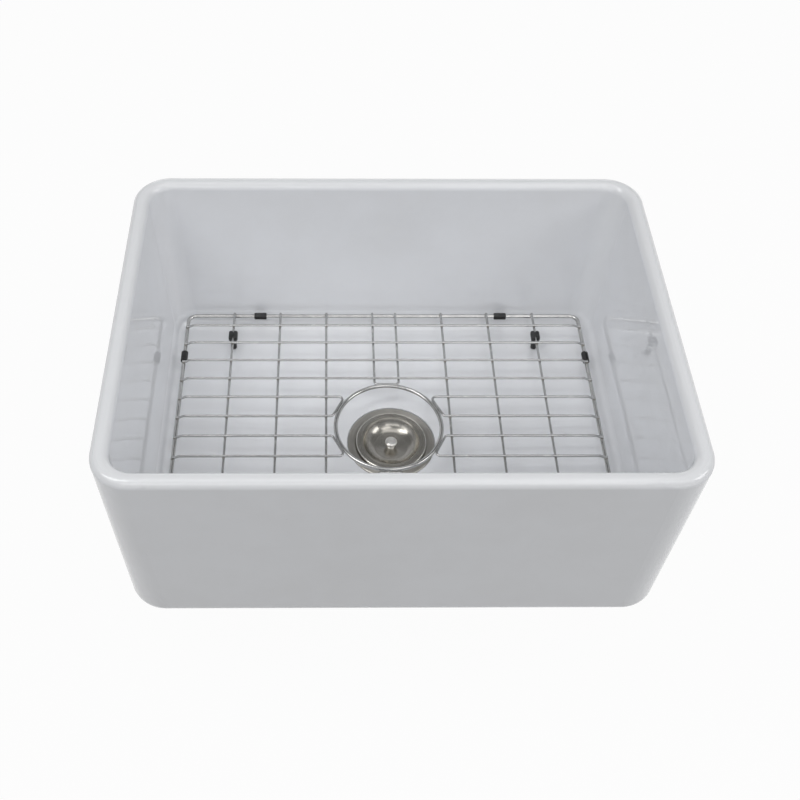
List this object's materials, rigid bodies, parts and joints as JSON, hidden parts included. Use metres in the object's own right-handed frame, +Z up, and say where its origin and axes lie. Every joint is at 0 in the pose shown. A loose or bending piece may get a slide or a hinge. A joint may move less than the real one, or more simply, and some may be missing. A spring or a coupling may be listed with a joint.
{
  "type": "farmhouse apron front sink",
  "caption": "Rectangular fireclay sink with an apron front, a basket strainer in the floor and a lift-out wire bottom grid on rubber feet.",
  "frame": {"origin": "middle of the flat underside of the basin", "axes": "+Z up, apron front towards -Y, +X along the sink's width"},
  "size_m": [0.61, 0.457, 0.3967],
  "materials": {
    "fireclay": "glossy white glaze over fireclay",
    "drain_steel": "satin stainless steel",
    "basket_steel": "spun satin stainless steel",
    "fastener_steel": "plain stainless steel",
    "seal_rubber": "black moulded rubber",
    "sealant": "cured white sealant",
    "fibre_ring": "pressed fibre",
    "cast_nut": "grey die-cast metal",
    "tail_steel": "drawn stainless tube",
    "coupling_metal": "plated metal",
    "washer_plastic": "white moulded plastic",
    "grid_rubber": "black moulded rubber",
    "grid_rod": "polished stainless rod",
    "grid_wire": "polished stainless wire"
  },
  "bodies": {
    "basin": {"sink_basin": "fireclay", "strainer_body": "drain_steel", "strainer_gasket": "seal_rubber", "strainer_locknut": "cast_nut", "strainer_sealant": "sealant", "strainer_slip_ring": "fibre_ring", "tailpiece": "tail_steel", "tailpiece_nut": "coupling_metal", "tailpiece_washer": "washer_plastic"},
    "grid": {"grid_bumper_back_left": "grid_rubber", "grid_bumper_back_right": "grid_rubber", "grid_bumper_front_left": "grid_rubber", "grid_bumper_front_right": "grid_rubber", "grid_cross_wire_back_1": "grid_wire", "grid_cross_wire_back_2": "grid_wire", "grid_cross_wire_back_3": "grid_wire", "grid_cross_wire_back_4": "grid_wire", "grid_cross_wire_front_1": "grid_wire", "grid_cross_wire_front_2": "grid_wire", "grid_cross_wire_front_3": "grid_wire", "grid_cross_wire_front_4": "grid_wire", "grid_foot_back_left": "grid_rubber", "grid_foot_back_right": "grid_rubber", "grid_foot_front_left": "grid_rubber", "grid_foot_front_right": "grid_rubber", "grid_frame": "grid_rod", "grid_hairpin_back": "grid_wire", "grid_hairpin_back_left": "grid_wire", "grid_hairpin_back_right": "grid_wire", "grid_hairpin_front": "grid_wire", "grid_hairpin_front_left": "grid_wire", "grid_hairpin_front_right": "grid_wire", "grid_long_wire_left_1": "grid_wire", "grid_long_wire_left_2": "grid_wire", "grid_long_wire_left_3": "grid_wire", "grid_long_wire_right_1": "grid_wire", "grid_long_wire_right_2": "grid_wire", "grid_long_wire_right_3": "grid_wire", "grid_ring": "grid_rod", "grid_side_bumper_back_left": "grid_rubber", "grid_side_bumper_back_right": "grid_rubber", "grid_side_bumper_front_left": "grid_rubber", "grid_side_bumper_front_right": "grid_rubber"},
    "basket": {"basket_cover": "basket_steel", "basket_cup": "basket_steel", "basket_knob": "basket_steel", "basket_post": "basket_steel", "basket_post_nut": "fastener_steel", "basket_stopper": "seal_rubber"}
  },
  "joints": [
    {"name": "grid_lift", "type": "slide", "parent": "basin", "child": "grid", "axis": [0, 0, 1], "range_m": [0, 0.26]},
    {"name": "basket_lift", "type": "slide", "parent": "basin", "child": "basket", "axis": [0, 0, 1], "range_m": [0, 0.29]}
  ]
}
